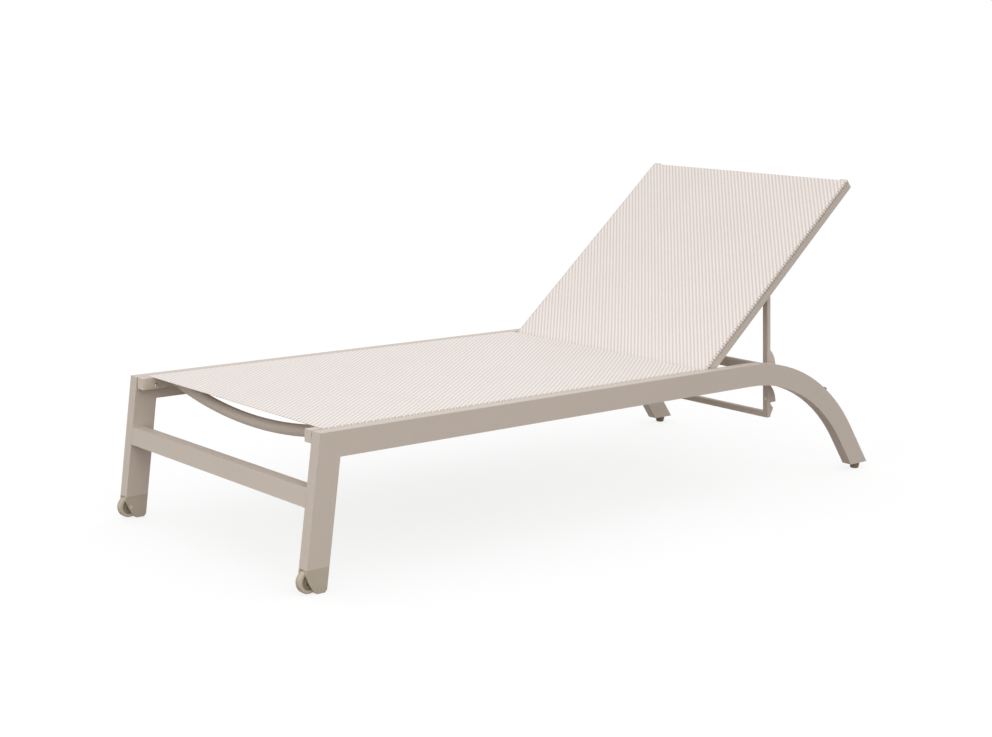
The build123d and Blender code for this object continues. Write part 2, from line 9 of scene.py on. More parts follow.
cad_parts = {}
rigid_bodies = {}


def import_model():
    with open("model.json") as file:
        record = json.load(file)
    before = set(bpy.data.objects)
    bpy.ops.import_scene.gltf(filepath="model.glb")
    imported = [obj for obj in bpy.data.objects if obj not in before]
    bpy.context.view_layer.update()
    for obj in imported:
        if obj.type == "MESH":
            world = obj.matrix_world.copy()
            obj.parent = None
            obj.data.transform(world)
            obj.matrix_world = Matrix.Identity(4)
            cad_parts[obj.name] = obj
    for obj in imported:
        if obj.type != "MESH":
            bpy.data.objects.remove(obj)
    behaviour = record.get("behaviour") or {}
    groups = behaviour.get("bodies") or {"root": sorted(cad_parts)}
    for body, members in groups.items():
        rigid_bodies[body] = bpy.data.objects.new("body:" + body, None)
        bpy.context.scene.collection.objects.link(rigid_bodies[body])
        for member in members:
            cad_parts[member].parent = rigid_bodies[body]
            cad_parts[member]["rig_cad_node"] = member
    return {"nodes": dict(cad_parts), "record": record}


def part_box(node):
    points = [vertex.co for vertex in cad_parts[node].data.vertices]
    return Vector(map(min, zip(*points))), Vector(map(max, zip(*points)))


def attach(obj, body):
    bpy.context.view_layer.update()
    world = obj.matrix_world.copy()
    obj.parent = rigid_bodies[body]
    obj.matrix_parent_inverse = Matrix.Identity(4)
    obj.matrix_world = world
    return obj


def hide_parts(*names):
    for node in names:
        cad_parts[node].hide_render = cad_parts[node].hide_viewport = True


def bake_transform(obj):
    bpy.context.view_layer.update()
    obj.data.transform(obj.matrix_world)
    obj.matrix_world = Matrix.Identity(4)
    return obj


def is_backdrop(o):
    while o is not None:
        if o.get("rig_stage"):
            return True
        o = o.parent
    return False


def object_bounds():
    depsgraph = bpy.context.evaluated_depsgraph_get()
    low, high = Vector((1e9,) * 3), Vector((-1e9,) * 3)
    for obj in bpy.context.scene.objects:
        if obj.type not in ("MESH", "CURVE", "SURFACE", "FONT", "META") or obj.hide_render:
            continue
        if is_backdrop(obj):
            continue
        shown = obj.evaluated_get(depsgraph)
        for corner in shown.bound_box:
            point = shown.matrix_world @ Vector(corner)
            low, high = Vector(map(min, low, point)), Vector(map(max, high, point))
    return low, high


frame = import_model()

random.seed(7)
scene = bpy.context.scene
NODES = frame["nodes"]
REC = frame["record"]
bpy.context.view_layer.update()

# ------------------------------------------------------------------ places, all from the frame
LO, HI = (Vector(v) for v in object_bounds())
joints = {j["name"]: j for j in REC["behaviour"]["joints"]}
HINGE = Vector(joints["backrest_hinge"]["pos_m"])
BACK_A = math.radians(-min(joints["backrest_hinge"]["range_deg"]))
PIVOT = Vector(joints["prop_pivot"]["pos_m"])
cb, sb = math.cos(BACK_A), math.sin(BACK_A)
s_lo, s_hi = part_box("seat_rail_right")
RAIL_OUT, RAIL_IN = s_hi.y, s_lo.y          # sling rail's outer and inner face
RAIL_TOP = s_hi.z
RAIL_H = s_hi.z - s_lo.z
c_lo, c_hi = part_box("sling_seat")
SEAT_X0, SEAT_X1 = c_lo.x, s_hi.x
YR = (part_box("side_rail_right")[0].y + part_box("side_rail_right")[1].y) / 2
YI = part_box("side_rail_right")[0].y
BACK_L = 0.642
BACK_U0 = -0.002


def link(name, mesh):
    o = bpy.data.objects.new(name, mesh)
    scene.collection.objects.link(o)
    return o


def mesh_from(name, verts, faces):
    m = bpy.data.meshes.new(name)
    m.from_pydata([tuple(v) for v in verts], [], faces)
    m.validate()
    m.update()
    return m


def smooth(mesh, angle=35):
    for p in mesh.polygons:
        p.use_smooth = True
    bm = bmesh.new()
    bm.from_mesh(mesh)
    for e in bm.edges:
        e.smooth = len(e.link_faces) == 2 and e.calc_face_angle(0) < math.radians(angle)
    bm.to_mesh(mesh)
    bm.free()


# ------------------------------------------------------------------ materials
class Mat:
    """A short way to write a node material."""

    def __init__(self, name):
        self.m = bpy.data.materials.new(name)
        self.m.use_nodes = True
        self.t = self.m.node_tree
        self.b = self.t.nodes["Principled BSDF"]
        self.tc = self.t.nodes.new("ShaderNodeTexCoord")

    def node(self, kind, **sets):
        n = self.t.nodes.new(kind)
        for k, v in sets.items():
            if k in n.inputs:
                n.inputs[k].default_value = v
            else:
                setattr(n, k, v)
        return n

    def link(self, a, b):
        self.t.links.new(a, b)

    def math(self, op, a, b=None, clamp=False):
        n = self.t.nodes.new("ShaderNodeMath")
        n.operation = op
        n.use_clamp = clamp
        for i, v in enumerate((a, b)):
            if v is None:
                continue
            if isinstance(v, (int, float)):
                n.inputs[i].default_value = v
            else:
                self.link(v, n.inputs[i])
        return n.outputs[0]

    def noise(self, scale, detail=3.0, rough=0.5, coord=None, dims="3D"):
        n = self.node("ShaderNodeTexNoise", Scale=scale, Detail=detail, Roughness=rough)
        n.noise_dimensions = dims
        self.link(coord or self.tc.outputs["Object"], n.inputs["Vector"])
        return n.outputs["Fac"]

    def rng(self, v, a0, a1, b0, b1):
        n = self.node("ShaderNodeMapRange")
        self.link(v, n.inputs["Value"])
        for k, x in zip(("From Min", "From Max", "To Min", "To Max"), (a0, a1, b0, b1)):
            n.inputs[k].default_value = x
        return n.outputs["Result"]

    def mix(self, fac, a, b):
        n = self.t.nodes.new("ShaderNodeMix")
        n.data_type = "RGBA"
        for i, v in ((0, fac), (6, a), (7, b)):
            if isinstance(v, (int, float)):
                n.inputs[i].default_value = v
            elif isinstance(v, (tuple, list)):
                n.inputs[i].default_value = (*v, 1.0) if len(v) == 3 else v
            else:
                self.link(v, n.inputs[i])
        return n.outputs[2]

    def bump(self, height, dist, strength=1.0, normal=None):
        n = self.node("ShaderNodeBump", Strength=strength, Distance=dist)
        self.link(height, n.inputs["Height"])
        if normal is not None:
            self.link(normal, n.inputs["Normal"])
        return n.outputs["Normal"]

    def out(self, color=None, rough=None, normal=None, **sets):
        for k, v in (("Base Color", color), ("Roughness", rough), ("Normal", normal)):
            if v is not None:
                self.link(v, self.b.inputs[k])
        for k, v in sets.items():
            self.b.inputs[k].default_value = v
        return self.m


def lin(r, g, b):
    f = lambda c: (c / 255) / 12.92 if c / 255 <= 0.04045 else ((c / 255 + 0.055) / 1.055) ** 2.4
    return (f(r), f(g), f(b))


def scaled(c, k):
    return tuple(min(1.0, x * k) for x in c)


PAINT = (0.600, 0.527, 0.461)


def powder_coat(name, base):
    """Fine-textured satin powder coat."""
    m = Mat(name)
    broad = m.noise(5.0, 2.0)
    mottle = m.noise(160.0, 3.0)
    grain = m.noise(2600.0, 2.0)
    peel = m.noise(420.0, 2.0)
    c = m.mix(m.rng(broad, 0.3, 0.7, 0.0, 1.0), scaled(base, 0.99), scaled(base, 1.01))
    c = m.mix(m.rng(mottle, 0.35, 0.7, 0.0, 0.25), c, scaled(base, 0.975))
    c = m.mix(m.rng(grain, 0.50, 0.72, 0.0, 0.6), c, scaled(base, 1.08))
    rough = m.rng(mottle, 0.3, 0.7, 0.44, 0.56)
    n = m.bump(grain, 0.00006, 0.5)
    n = m.bump(peel, 0.00010, 0.35, n)
    return m.out(c, rough, n, **{"Specular IOR Level": 0.42})


def moulded(name, base, rough=(0.5, 0.62), grain_d=0.00005, darken_low=0.0):
    """Injection-moulded plastic with a fine spark-eroded grain."""
    m = Mat(name)
    a = m.noise(1500.0, 2.0)
    b = m.noise(38.0, 3.0)
    c = m.mix(m.rng(b, 0.3, 0.7, 0.0, 1.0), scaled(base, 0.965), scaled(base, 1.03))
    if darken_low:
        # darker towards the bottom: the lowest 2 cm are darkened in noise blotches
        z = m.node("ShaderNodeSeparateXYZ")
        m.link(m.tc.outputs["Object"], z.inputs[0])
        low = m.rng(z.outputs["Z"], 0.0, 0.02, darken_low, 0.0)
        c = m.mix(m.math("MULTIPLY", low, m.rng(m.noise(220.0, 4.0), 0.35, 0.65, 0.0, 1.0)), c, scaled(base, 0.55))
    v = m.node("ShaderNodeTexVoronoi", Scale=1300.0)
    m.link(m.tc.outputs["Object"], v.inputs["Vector"])
    n = m.bump(v.outputs["Distance"], grain_d, 0.45)
    n = m.bump(a, grain_d, 0.3, n)
    return m.out(c, m.rng(b, 0.3, 0.7, *rough), n, **{"Specular IOR Level": 0.4})


def plated(name, base):
    """Zinc-plated steel: turned, slightly cloudy."""
    m = Mat(name)
    w = m.node("ShaderNodeTexWave", Scale=900.0, Distortion=2.0, Detail=2.0)
    w.wave_type = "RINGS"
    m.link(m.tc.outputs["Object"], w.inputs["Vector"])
    cl = m.noise(260.0, 4.0)
    c = m.mix(m.rng(cl, 0.3, 0.7, 0.0, 1.0), scaled(base, 0.82), scaled(base, 1.08))
    n = m.bump(w.outputs["Fac"], 0.00003, 0.4)
    return m.out(c, m.rng(cl, 0.3, 0.7, 0.26, 0.44), n, Metallic=1.0)


M_PAINT = powder_coat("frame_paint", PAINT)
M_FOOT = moulded("foot_plastic", (0.50, 0.440, 0.350), darken_low=0.4)
M_CAP = moulded("cap_plastic", (0.66, 0.59, 0.50))
M_GLIDE = moulded("glide_plastic", (0.22, 0.175, 0.12), darken_low=0.5)
M_HUB = moulded("hub_plastic", lin(84, 76, 66))
M_RUBBER = moulded("bumper_rubber", lin(150, 140, 128), rough=(0.62, 0.8))
M_BEAD = moulded("bead_plastic", lin(224, 219, 210))
M_NYLON = moulded("nylon", lin(205, 199, 188), rough=(0.4, 0.5))
M_STEEL = plated("steel", (0.50, 0.46, 0.39))


def wheel_material():
    """Moulded wheel: scuffed round the tread, with painted shade darkening the dished faces."""
    m = Mat("wheel_plastic")
    base = (0.57, 0.50, 0.385)
    b = m.noise(120.0, 4.0)
    z = m.node("ShaderNodeSeparateXYZ")
    m.link(m.tc.outputs["Object"], z.inputs[0])
    cx, cz = joints["wheel_left_spin"]["pos_m"][0], joints["wheel_left_spin"]["pos_m"][2]
    dx = m.math("SUBTRACT", z.outputs["X"], cx)
    dz = m.math("SUBTRACT", z.outputs["Z"], cz)
    r = m.math("SQRT", m.math("ADD", m.math("MULTIPLY", dx, dx), m.math("MULTIPLY", dz, dz)))
    c = m.mix(m.rng(b, 0.3, 0.7, 0.0, 1.0), scaled(base, 0.95), scaled(base, 1.04))
    c = m.mix(m.math("MULTIPLY", m.rng(r, 0.0225, 0.0239, 0.0, 0.6), m.rng(b, 0.38, 0.6, 0.0, 1.0)), c, scaled(base, 0.62))
    # painted shade: inside the tread ring the dished faces are darkened to about a third
    c = m.mix(m.rng(r, 0.0172, 0.0164, 0.0, 0.75), c, scaled(base, 0.34))
    n = m.bump(m.noise(1500.0, 2.0), 0.00006, 0.4)
    return m.out(c, m.rng(b, 0.3, 0.7, 0.5, 0.66), n)


M_WHEEL = wheel_material()

THREAD = 0.0016          # yarn pitch of the mesh
TWILL = math.radians(37.2)   # direction of the twill lines in the cloth
TWILL_P = 0.00905        # pitch of the twill lines


def sling_material():
    """PVC-coated mesh. U runs along the cloth and V across it, both in metres."""
    m = Mat("sling_fabric")
    uv = m.node("ShaderNodeUVMap")
    uv.uv_map = "cloth"
    s = m.node("ShaderNodeSeparateXYZ")
    m.link(uv.outputs["UV"], s.inputs[0])
    u, v = s.outputs["X"], s.outputs["Y"]
    wob = m.math("MULTIPLY", m.math("SUBTRACT", m.noise(26.0, 2.0), 0.5), 0.0012)
    across = m.math("ADD", m.math("ADD", m.math("MULTIPLY", u, -math.sin(TWILL)), m.math("MULTIPLY", v, math.cos(TWILL))), wob)
    along = m.math("ADD", m.math("MULTIPLY", u, math.cos(TWILL)), m.math("MULTIPLY", v, math.sin(TWILL)))
    line = m.math("SINE", m.math("MULTIPLY", across, 2 * math.pi / TWILL_P))
    line = m.rng(line, -0.35, 0.75, 0.0, 1.0)
    dash = m.math("SINE", m.math("ADD", m.math("MULTIPLY", along, 2 * math.pi / 0.0054), m.math("MULTIPLY", across, math.pi / TWILL_P)))
    dash = m.rng(dash, -1.0, 0.4, 0.62, 1.0)
    stripe = m.math("MULTIPLY", line, dash)
    other = m.math("ADD", m.math("ADD", m.math("MULTIPLY", u, math.sin(TWILL)), m.math("MULTIPLY", v, math.cos(TWILL))), wob)
    other = m.rng(m.math("SINE", m.math("MULTIPLY", other, 2 * math.pi / TWILL_P)), -0.35, 0.75, 0.0, 1.0)
    # yarns: warp and weft as rounded threads, with the small open cell where four meet
    wu = m.math("ABSOLUTE", m.math("SINE", m.math("MULTIPLY", u, math.pi / THREAD)))
    wv = m.math("ABSOLUTE", m.math("SINE", m.math("MULTIPLY", v, math.pi / THREAD)))
    thread = m.math("MAXIMUM", wu, wv)
    cell = m.math("MINIMUM", wu, wv)
    hole = m.rng(thread, 0.22, 0.50, 1.0, 0.0)
    base = (0.908, 0.856, 0.828)
    warm = (0.560, 0.465, 0.400)
    pink = (0.830, 0.725, 0.690)
    blotch = m.noise(9.0, 3.0)
    c = m.mix(m.rng(blotch, 0.35, 0.65, 0.0, 1.0), base, scaled(base, 0.975))
    c = m.mix(m.math("MULTIPLY", other, 0.16), c, warm)
    c = m.mix(m.math("MULTIPLY", stripe, 0.78), c, warm)
    c = m.mix(m.math("MULTIPLY", m.rng(m.noise(340.0, 2.0), 0.4, 0.65, 0.0, 1.0), 0.35), c, pink)
    c = m.mix(m.math("MULTIPLY", m.rng(cell, 0.0, 0.35, 1.0, 0.0), 0.12), c, scaled(warm, 0.8))
    c = m.mix(m.math("MULTIPLY", hole, 0.4), c, scaled(warm, 0.5))
    # cut edge: beyond the fold the weave shows its yarn ends as a fine saw-tooth of light and shade
    fold = RAIL_OUT + 0.0002
    edge = m.rng(m.math("ABSOLUTE", v), fold - 0.0055, fold - 0.0020, 0.0, 1.0)
    saw = m.rng(m.math("SINE", m.math("MULTIPLY", u, 2 * math.pi / 0.0082)), -0.1, 0.35, 0.0, 1.0)
    c = m.mix(m.math("MULTIPLY", m.math("MULTIPLY", edge, saw), 0.85), c, scaled(PAINT, 0.80))
    h = m.math("ADD", m.math("MULTIPLY", thread, 0.7), m.math("MULTIPLY", stripe, -0.5))
    n = m.bump(h, 0.00022, 0.55)
    m.b.inputs["Sheen Weight"].default_value = 0.12
    m.b.inputs["Sheen Roughness"].default_value = 0.5
    return m.out(c, m.rng(thread, 0.0, 1.0, 0.72, 0.5), n, **{"Specular IOR Level": 0.35})


M_SLING = sling_material()
BY_SLOT = {"frame_paint": M_PAINT, "foot_plastic": M_FOOT, "cap_plastic": M_CAP, "glide_plastic": M_GLIDE, "hub_plastic": M_HUB,
           "bumper_rubber": M_RUBBER, "bead_plastic": M_BEAD, "nylon": M_NYLON, "steel": M_STEEL, "wheel_plastic": M_WHEEL, "sling_fabric": M_SLING}


def dress(o, slot_name):
    o.data.materials.clear()
    o.data.materials.append(BY_SLOT[slot_name])


for sp in REC["subparts"]:
    o = NODES[sp["node"]]
    for i in range(max(1, len(o.material_slots))):
        if len(o.material_slots) <= i:
            o.data.materials.append(BY_SLOT[sp["material_slot"]])
        o.material_slots[i].material = BY_SLOT[sp["material_slot"]]

# ------------------------------------------------------------------ the sling: one continuous cloth
T = 0.0011                       # cloth thickness
MID = 0.0001 + T / 2             # its middle above the rails' tops
R_FOLD = 0.0012
FLAP = 0.0052                    # how far the edge goes down the rail's outer face
CREASE_Y = 0.2900                # the cloth is cut narrower where it passes the hinge
SEAT_END = SEAT_X1 - 0.0005
WD = RAIL_OUT + MID              # |y| of the flap's middle


def bez(p, q, r, t_, n):
    out = []
    for i in range(1, n + 1):
        t = i / n
        out.append(p * (1 - t) ** 3 + q * (3 * t * (1 - t) ** 2) + r * (3 * t * t * (1 - t)) + t_ * t ** 3)
    return out


# the line the cloth follows at the rails' top: point, normal, held or free
def back_point(u, n):
    return Vector((HINGE.x + u * cb - n * sb, HINGE.z + u * sb + n * cb))


rows = []                        # (x, z), "seat" | "gap" | "back"
N_SEAT = 330
for i in range(N_SEAT + 1):
    rows.append((Vector((SEAT_X0 + (SEAT_END - SEAT_X0) * i / N_SEAT, RAIL_TOP + MID)), "seat"))
A0 = rows[-1][0]
A1 = A0 + Vector((0.0046, -0.0001))
B0 = back_point(BACK_U0, RAIL_H / 2 + MID)
PKT = Vector((B0.x - 0.0058, B0.y - 0.0050))
rows.append((A0 + Vector((0.0023, 0.0)), "gap"))
rows.append((A1, "gap"))
for p in bez(A1, A1 + Vector((0.0030, -0.0003)), PKT + Vector((-0.0040, 0.0030)), PKT, 9):
    rows.append((p, "gap"))
for p in bez(PKT, PKT + Vector((0.0012, -0.0009)), B0 - Vector((cb, sb)) * 0.0032, B0, 7):
    rows.append((p, "gap"))
rows[-1] = (B0, "back")
N_BACK = 203
U1 = BACK_L - 0.0015
for i in range(1, N_BACK + 1):
    rows.append((back_point(BACK_U0 + (U1 - BACK_U0) * i / N_BACK, RAIL_H / 2 + MID), "back"))

pts = [r[0] for r in rows]
arc = [0.0]
for a, b in zip(pts, pts[1:]):
    arc.append(arc[-1] + (b - a).length)
norms = []
for i in range(len(pts)):
    a, b = pts[max(0, i - 1)], pts[min(len(pts) - 1, i + 1)]
    d = (b - a).normalized()
    norms.append(Vector((-d.y, d.x)))

# columns from the middle to the +Y edge: (distance in the cloth, y, height over the rail's top line)
half = []
NC = 34
for i in range(NC + 1):
    y = CREASE_Y * i / NC
    half.append((y, y, 0.0, "span"))
half.append((RAIL_IN, RAIL_IN, 0.0, "lip"))
half.append((0.3045, 0.3045, 0.0, "top"))
half.append((0.3120, 0.3120, 0.0, "top"))
yf = WD - R_FOLD - MID
half.append((yf, yf, 0.0, "top"))
for k in range(1, 5):
    a = k * math.pi / 8
    rr = R_FOLD + MID
    half.append((yf + rr * a, yf + rr * math.sin(a), -rr * (1 - math.cos(a)), "fold"))
d0 = half[-1][0]
for h in (0.0032, FLAP):
    half.append((d0 + h - rr, WD, -h, "flap"))
cols = [(-d, -y, h, k) for d, y, h, k in reversed(half[1:])] + half

verts, uvs = [], []
nc = len(cols)
for i, (p, kind) in enumerate(rows):
    n = norms[i]
    # the mesh is tight across; it gives by a millimetre or two along the middle of each panel
    if kind == "seat":
        t = (p.x - SEAT_X0) / (SEAT_END - SEAT_X0)
        sag = 0.0026 * math.sin(math.pi * min(1, t * 1.0)) ** 0.5
    elif kind == "gap":
        sag = 0.0
    else:
        t = (arc[i] - arc[-1] + (U1 - BACK_U0)) / (U1 - BACK_U0)
        sag = 0.0022 * math.sin(math.pi * max(0.0, min(1, t))) ** 0.5
    # the edge is short where it passes the hinge and full where the rail's groove holds it
    near = 1.0 if kind == "seat" else 0.0 if kind == "gap" else max(0.0, min(1.0, (arc[i] - arc[-1] + (U1 - BACK_U0) - 0.008) / 0.010))
    for d, y, h, k in cols:
        if k == "flap":
            h = max(h, -(0.0026 + (FLAP - 0.0026) * near)) if h == -FLAP else h * (0.62 + 0.38 * near)
        q = abs(y) / RAIL_IN
        off = h - (sag * (1 - q * q) if q < 1 else 0.0)
        off += 0.00022 * math.sin(arc[i] * 37.0 + 1.3 * math.sin(y * 21)) * (1 - q * q if q < 1 else 0)
        if k == "flap" and d in (cols[0][0], cols[-1][0]):
            off += 0.00055 * (1 if i % 2 else -1)
        verts.append((p.x + n.x * off, y, p.y + n.y * off))
        uvs.append((arc[i], d))
faces = []
for i in range(len(rows) - 1):
    for j in range(nc - 1):
        faces.append((i * nc + j, (i + 1) * nc + j, (i + 1) * nc + j + 1, i * nc + j + 1))
sm = mesh_from("sling", verts, faces)
layer = sm.uv_layers.new(name="cloth")
for lp in sm.loops:
    layer.data[lp.index].uv = uvs[lp.vertex_index]
bm = bmesh.new()
bm.from_mesh(sm)
loose = [v for v in bm.verts if not v.link_faces]
bmesh.ops.delete(bm, geom=loose, context="VERTS")
bmesh.ops.recalc_face_normals(bm, faces=bm.faces)
if sum(f.normal.z for f in bm.faces) < 0:
    bmesh.ops.reverse_faces(bm, faces=bm.faces)
bm.to_mesh(sm)
bm.free()
sling = link("sling", sm)
so = sling.modifiers.new("solid", "SOLIDIFY")
so.thickness = T
so.offset = 0.0
so.use_even_offset = False
bpy.context.view_layer.update()
dg = bpy.context.evaluated_depsgraph_get()
final = bpy.data.meshes.new_from_object(sling.evaluated_get(dg))
sling.modifiers.clear()
sling.data = final
smooth(sling.data, 40)
dress(sling, "sling_fabric")
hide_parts("sling_seat", "sling_back")


# ------------------------------------------------------------------ small parts
class Build:
    def __init__(self):
        self.v, self.f = [], []

    def add(self, verts, faces):
        k = len(self.v)
        self.v += [tuple(p) for p in verts]
        self.f += [tuple(i + k for i in f) for f in faces]

    def lathe(self, profile, origin, axis, seg=28):
        """A closed turned solid: profile is (radius, distance along the axis), ends at radius 0."""
        ax = Vector(axis).normalized()
        a = ax.orthogonal().normalized()
        b = ax.cross(a)
        o = Vector(origin)
        vs, fs = [], []
        idx = []
        for r, h in profile:
            if r < 1e-9:
                idx.append([len(vs)])
                vs.append(o + ax * h)
            else:
                idx.append([len(vs) + k for k in range(seg)])
                for k in range(seg):
                    t = 2 * math.pi * k / seg
                    vs.append(o + ax * h + (a * math.cos(t) + b * math.sin(t)) * r)
        for p, q in zip(idx, idx[1:]):
            for k in range(seg):
                k2 = (k + 1) % seg
                if len(p) == 1 and len(q) > 1:
                    fs.append((p[0], q[k2], q[k]))
                elif len(q) == 1 and len(p) > 1:
                    fs.append((p[k], p[k2], q[0]))
                elif len(p) > 1:
                    fs.append((p[k], p[k2], q[k2], q[k]))
        self.add(vs, fs)

    def tube(self, path, radius, seg=8, closed=False, ripple=0.0):
        """A bead of round section along a path."""
        n = len(path)
        P = [Vector(p) for p in path]
        vs, fs = [], []
        prev = None
        for i, p in enumerate(P):
            a = P[(i - 1) % n] if closed else P[max(0, i - 1)]
            b = P[(i + 1) % n] if closed else P[min(n - 1, i + 1)]
            d = (b - a).normalized()
            u = prev if prev is not None else d.orthogonal().normalized()
            u = (u - d * u.dot(d)).normalized()
            prev = u
            w = d.cross(u)
            r = radius * (1 + (ripple if i % 2 else -ripple))
            for k in range(seg):
                t = 2 * math.pi * k / seg
                vs.append(p + (u * math.cos(t) + w * math.sin(t)) * r)
        for i in range(n if closed else n - 1):
            j = (i + 1) % n
            for k in range(seg):
                k2 = (k + 1) % seg
                fs.append((i * seg + k, i * seg + k2, j * seg + k2, j * seg + k))
        if not closed:
            fs.append(tuple(reversed(range(seg))))
            fs.append(tuple((n - 1) * seg + k for k in range(seg)))
        self.add(vs, fs)

    def make(self, name, slot_name, body, angle=35):
        m = mesh_from(name, self.v, self.f)
        bm = bmesh.new()
        bm.from_mesh(m)
        bmesh.ops.recalc_face_normals(bm, faces=bm.faces)
        bm.to_mesh(m)
        bm.free()
        smooth(m, angle)
        o = link(name, m)
        dress(o, slot_name)
        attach(o, body)
        return o


def ring(centre, axis, r, n=26):
    ax = Vector(axis).normalized()
    a = ax.orthogonal().normalized()
    b = ax.cross(a)
    c = Vector(centre)
    return [c + (a * math.cos(2 * math.pi * k / n) + b * math.sin(2 * math.pi * k / n)) * r for k in range(n)]


def button_head(build, at, axis, r, h, socket=0.42):
    """Domed head with a round-bottomed drive socket."""
    pr = [(0.0, h * 0.35), (r * socket * 0.9, h * 0.35), (r * socket, h * 0.98), (r * 0.62, h), (r * 0.82, h * 0.86), (r * 0.95, h * 0.55), (r, h * 0.12), (r, 0.0), (0.0, 0.0)]
    build.lathe(pr, at, axis)


# sling bolts: button heads inside the sling rails, with their shanks
lo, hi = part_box("sling_bolts")
zc = (lo.z + hi.z) / 2
xs = [lo.x + 0.0052, None, hi.x - 0.0052]
xs[1] = xs[0] + 0.488
heads = Build()
for s in (-1, 1):
    for x in xs:
        button_head(heads, (x, s * RAIL_IN, zc), (0, -s, 0), 0.0052, 0.0032)
        heads.lathe([(0, 0), (0.003, 0), (0.003, 0.0338), (0, 0.034)], (x, s * (RAIL_IN - 0.0002), zc), (0, s, 0), 20)
bolts = heads.make("sling_bolt_heads", "steel", "base")
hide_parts("sling_bolts")

# weld beads where bars meet rails
weld = Build()


def bar_welds(build, node, r, dx=0.0):
    """A bead round each end of a round bar."""
    n = NODES[node]
    co = [v.co for v in n.data.vertices]
    ymax = max(c.y for c in co)
    for s in (-1, 1):
        end = [c for c in co if s * c.y > ymax - 0.0006]
        cx = (min(c.x for c in end) + max(c.x for c in end)) / 2
        cz = (min(c.z for c in end) + max(c.z for c in end)) / 2
        build.tube(ring((cx, s * (ymax - 0.0004), cz), (0, 1, 0), r + 0.0002, 44), 0.0013, 7, True, 0.16)


for node, r in (("foot_bow_bar", 0.0125), ("middle_bow_bar", 0.0125), ("hinge_bow_bar", 0.0125), ("catch_bar", 0.0125)):
    bar_welds(weld, node, r)
lo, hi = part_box("leg_crossbar")
rake = math.radians(6.58)
for s in (-1, 1):
    y = s * (hi.y - 0.0002)
    h = hi.z - lo.z
    dxr = h * math.tan(rake)
    corners = [Vector((lo.x, y, lo.z)), Vector((hi.x - dxr, y, lo.z)), Vector((hi.x, y, hi.z)), Vector((lo.x + dxr, y, hi.z))]
    path = []
    for a, b in zip(corners, corners[1:] + corners[:1]):
        for k in range(14):
            path.append(a + (b - a) * (k + 0.5) / 14)
    weld.tube(path, 0.0009, 6, True, 0.16)
weld.make("frame_weld_beads", "frame_paint", "base", 60)
wb = Build()
for node in ("back_lower_bow", "back_middle_bow", "back_top_bow"):
    n = NODES[node]
    co = [v.co for v in n.data.vertices]
    ymax = max(c.y for c in co)
    for s in (-1, 1):
        end = [c for c in co if s * c.y > ymax - 0.0006]
        c = sum(end, Vector()) / len(end)
        e = [Vector(((p.x - c.x) * 1.03 + c.x, s * (ymax - 0.0004), (p.z - c.z) * 1.03 + c.z)) for p in end]
        e.sort(key=lambda p: math.atan2(p.z - c.z, p.x - c.x))
        keep = [p for i, p in enumerate(e) if math.hypot(p.x - c.x, p.z - c.z) > 0.0100]
        r_mean = sum(math.hypot(p.x - c.x, p.z - c.z) for p in keep) / len(keep)
        wb.tube(ring((c.x, s * (ymax - 0.0004), c.z), (0, 1, 0), r_mean, 40), 0.0012, 7, True, 0.16)
wb.make("back_weld_beads", "frame_paint", "backrest", 60)

# hinge bolt heads: sockets and washers
hb = Build()
lo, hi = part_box("hinge_bolts")
for s in (-1, 1):
    inner = RAIL_IN - 0.0055
    hb.lathe([(0.0036, 0.0), (0.0072, 0.0), (0.0074, -0.0007), (0.0070, -0.0016), (0.0056, -0.0021), (0.0038, -0.0019), (0.0034, -0.0004), (0.0036, 0.0)],
             (HINGE.x, s * inner, HINGE.z), (0, s, 0), 36)
hb.make("hinge_bolt_rims", "steel", "base")

# wheels: ribs in the dished faces
for side, s in (("left", -1), ("right", 1)):
    j = joints[f"wheel_{side}_spin"]["pos_m"]
    lo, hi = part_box(f"wheel_tread_{side}")
    wt = hi.y - lo.y
    w = Build()
    for e in (-1, 1):
        for k in range(6):
            a = k * math.pi / 3 + 0.2
            d = Vector((math.cos(a), 0, math.sin(a)))
            t = Vector((-math.sin(a), 0, math.cos(a)))
            c0 = Vector((j[0], s * YR + e * (wt / 2 - 0.0026), j[2]))
            vs = []
            for rr_, ww in ((0.0085, 0.0013), (0.0172, 0.0009)):
                for hh in (0.0, 0.0019):
                    for q in (-1, 1):
                        vs.append(c0 + d * rr_ + t * (q * ww) + Vector((0, e * hh, 0)))
            w.add(vs, [(0, 1, 3, 2), (4, 6, 7, 5), (0, 2, 6, 4), (1, 5, 7, 3), (2, 3, 7, 6), (0, 4, 5, 1)])
    w.make(f"wheel_ribs_{side}", "wheel_plastic", f"wheel_{side}", 20)

# ------------------------------------------------------------------ camera
cam_data = bpy.data.cameras.new("camera")
cam = bpy.data.objects.new("camera", cam_data)
scene.collection.objects.link(cam)
yaw, pitch, roll = 0.726404757, 0.183697382, 0.0228245884
fwd = Vector((math.sin(yaw) * math.cos(pitch), math.cos(yaw) * math.cos(pitch), -math.sin(pitch)))
r0 = fwd.cross(Vector((0, 0, 1))).normalized()
u0 = r0.cross(fwd)
r = r0 * math.cos(roll) + u0 * math.sin(roll)
u = u0 * math.cos(roll) - r0 * math.sin(roll)
rot = Matrix((r, u, -fwd)).transposed()
cam.matrix_world = Matrix.Translation((HINGE.x - 2.9260531, -2.88332943, 1.01766574)) @ rot.to_4x4()
cam_data.sensor_fit = "HORIZONTAL"
cam_data.sensor_width = 36.0
cam_data.lens = 1708.31231 / 992 * 36.0
cam_data.clip_end = 100
scene.camera = cam

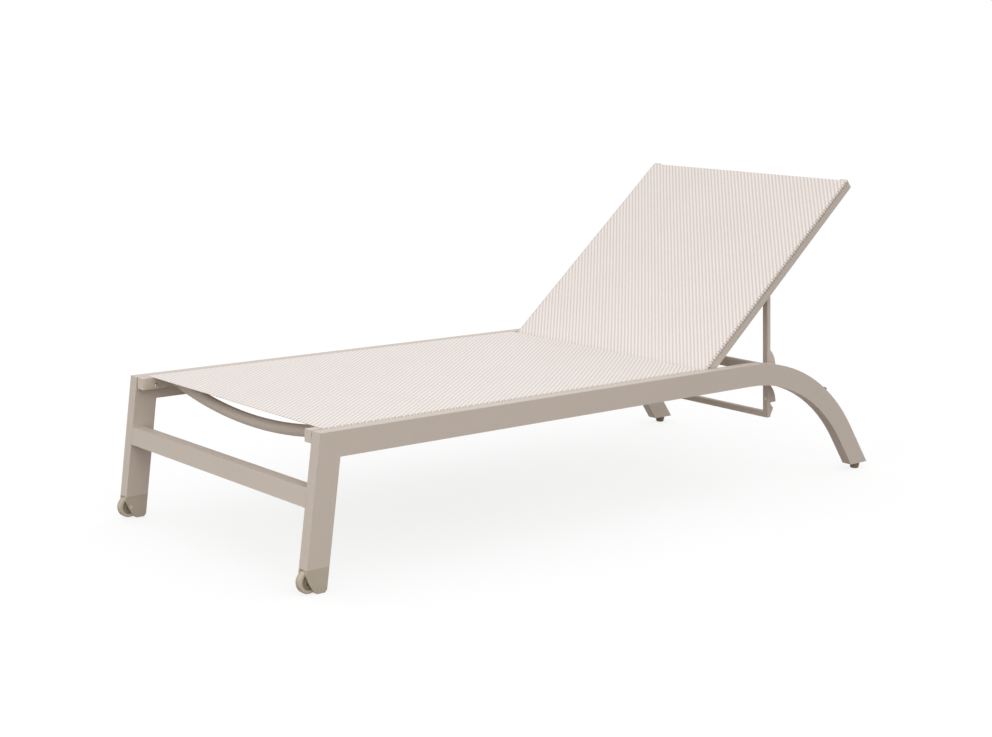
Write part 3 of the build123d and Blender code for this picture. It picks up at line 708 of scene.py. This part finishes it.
# ------------------------------------------------------------------ floor and light
bm = bmesh.new()
bmesh.ops.create_grid(bm, x_segments=8, y_segments=8, size=400)
fm = bpy.data.meshes.new("floor")
bm.to_mesh(fm)
bm.free()
floor = link("floor", fm)
floor.location = (0, 0, -0.0003)
fmat = Mat("floor")
fn = fmat.noise(1.5, 2.0)
fc = fmat.mix(fmat.rng(fn, 0.3, 0.7, 0.0, 1.0), (0.205, 0.205, 0.205), (0.215, 0.215, 0.215))
fmat.out(fc, None, None, Roughness=0.9, **{"Specular IOR Level": 0.0, "Emission Color": (1, 1, 1, 1), "Emission Strength": 0.80})
floor.data.materials.append(fmat.m)
floor.visible_diffuse = False
floor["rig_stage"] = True

world = bpy.data.worlds.new("world")
world.use_nodes = True
bg = world.node_tree.nodes["Background"]
wt = world.node_tree
wtc = wt.nodes.new("ShaderNodeTexCoord")
wsep = wt.nodes.new("ShaderNodeSeparateXYZ")
wt.links.new(wtc.outputs["Generated"], wsep.inputs[0])
wr = wt.nodes.new("ShaderNodeMapRange")
for k, x in zip(("From Min", "From Max", "To Min", "To Max"), (-0.06, -0.01, 0.16, 1.0)):
    wr.inputs[k].default_value = x
wt.links.new(wsep.outputs["Z"], wr.inputs["Value"])
wz = wt.nodes.new("ShaderNodeMapRange")          # a little dimmer overhead than round the horizon
for k, x in zip(("From Min", "From Max", "To Min", "To Max"), (0.25, 1.0, 1.0, 0.95)):
    wz.inputs[k].default_value = x
wt.links.new(wsep.outputs["Z"], wz.inputs["Value"])
wm = wt.nodes.new("ShaderNodeMath")
wm.operation = "MULTIPLY"
wt.links.new(wr.outputs["Result"], wm.inputs[0])
wt.links.new(wz.outputs["Result"], wm.inputs[1])
wt.links.new(wm.outputs[0], bg.inputs["Strength"])
wc = wt.nodes.new("ShaderNodeMix")               # light from below is warmer
wc.data_type = "RGBA"
wc.inputs[6].default_value = (1.0, 0.74, 0.54, 1)
wc.inputs[7].default_value = (1.0, 1.0, 1.0, 1)
wf = wt.nodes.new("ShaderNodeMapRange")
for k, x in zip(("From Min", "From Max", "To Min", "To Max"), (-0.06, -0.01, 0.0, 1.0)):
    wf.inputs[k].default_value = x
wt.links.new(wsep.outputs["Z"], wf.inputs["Value"])
wt.links.new(wf.outputs["Result"], wc.inputs[0])
wt.links.new(wc.outputs[2], bg.inputs["Color"])
scene.world = world


def softbox(name, at, look, size, power):
    d = bpy.data.lights.new(name, "AREA")
    d.shape = "RECTANGLE"
    d.size, d.size_y = size
    d.energy = power
    o = bpy.data.objects.new(name, d)
    scene.collection.objects.link(o)
    o.location = at
    o.rotation_euler = (Vector(look) - Vector(at)).to_track_quat("-Z", "Y").to_euler()
    return o


softbox("key", (-2.4, -3.6, 2.6), (0, 0, 0.2), (3.0, 2.4), 31)
softbox("front", (-3.6, -0.6, 0.60), (0.2, 0, 0.2), (2.6, 1.0), 10)

scene.view_settings.view_transform = "Standard"
scene.view_settings.look = "None"
scene.view_settings.exposure = 0.0
scene.view_settings.gamma = 1.0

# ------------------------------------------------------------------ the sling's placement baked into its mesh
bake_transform(sling)
